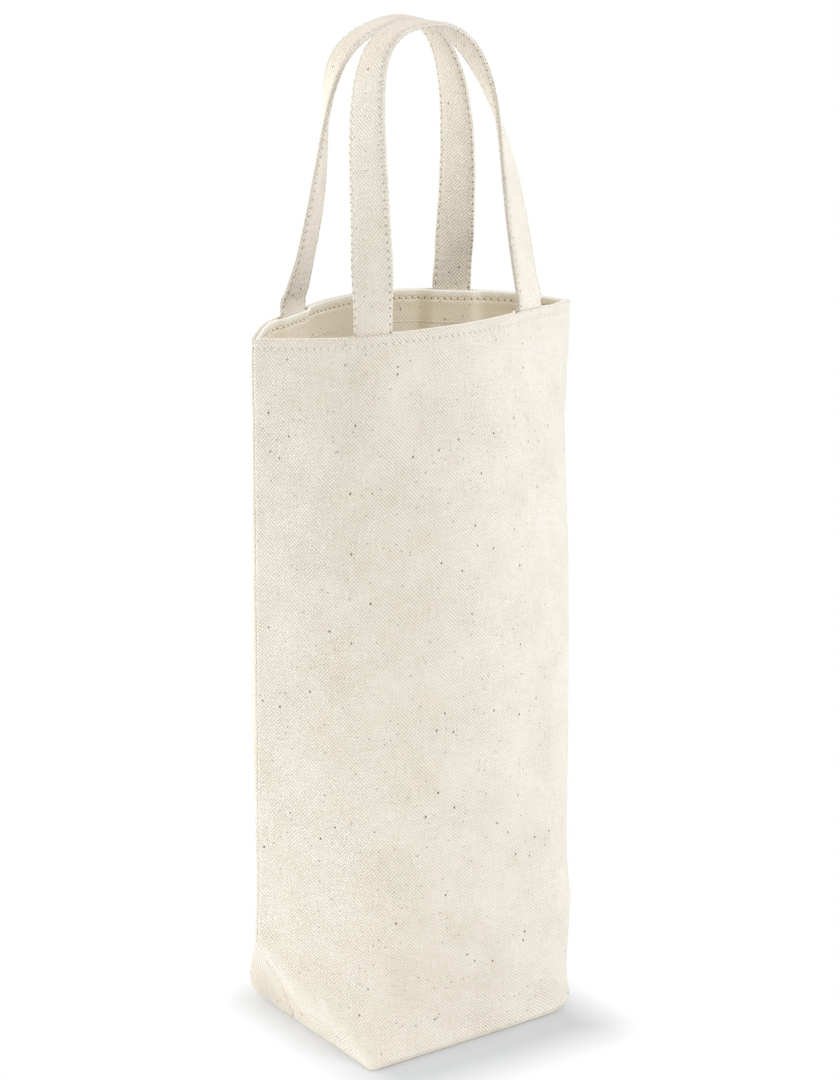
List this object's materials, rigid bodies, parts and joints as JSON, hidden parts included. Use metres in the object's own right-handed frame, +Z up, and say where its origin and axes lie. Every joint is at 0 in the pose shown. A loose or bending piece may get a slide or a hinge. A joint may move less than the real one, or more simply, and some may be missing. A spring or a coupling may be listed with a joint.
{
  "type": "bottle carrier",
  "caption": "Upright cotton tote for one bottle, with a boxed base, a mouth facing and two strap handles that fold down outwards.",
  "frame": {"origin": "centre of the base, on the surface that the carrier stands on", "axes": "+Z up, -Y towards the front panel, +X towards the right side seam as seen from the front"},
  "size_m": [0.14, 0.0864, 0.3765],
  "materials": {
    "twill": "unbleached cotton twill",
    "facing": "inside face of the twill",
    "seam": "overlocked twill edges",
    "strap": "folded and stitched twill"
  },
  "bodies": {
    "bag": {"front_panel": "twill", "back_panel": "twill", "front_facing": "facing", "back_facing": "facing", "left_side_seam": "seam", "right_side_seam": "seam", "base_seam": "seam", "left_corner_seam": "seam", "right_corner_seam": "seam", "front_handle_ends": "strap", "back_handle_ends": "strap"},
    "front_handle": {"front_handle": "strap"},
    "back_handle": {"back_handle": "strap"}
  },
  "joints": [
    {"name": "front_handle_fold", "type": "hinge", "parent": "bag", "child": "front_handle", "pos_m": [-0.0018, -0.02844, 0.27409], "axis": [0.9877, 0.1564, 0], "range_deg": [-2, 160]},
    {"name": "back_handle_fold", "type": "hinge", "parent": "bag", "child": "back_handle", "pos_m": [-0.00197, 0.02884, 0.27409], "axis": [-0.9958, -0.092, 0], "range_deg": [-2, 160]}
  ]
}
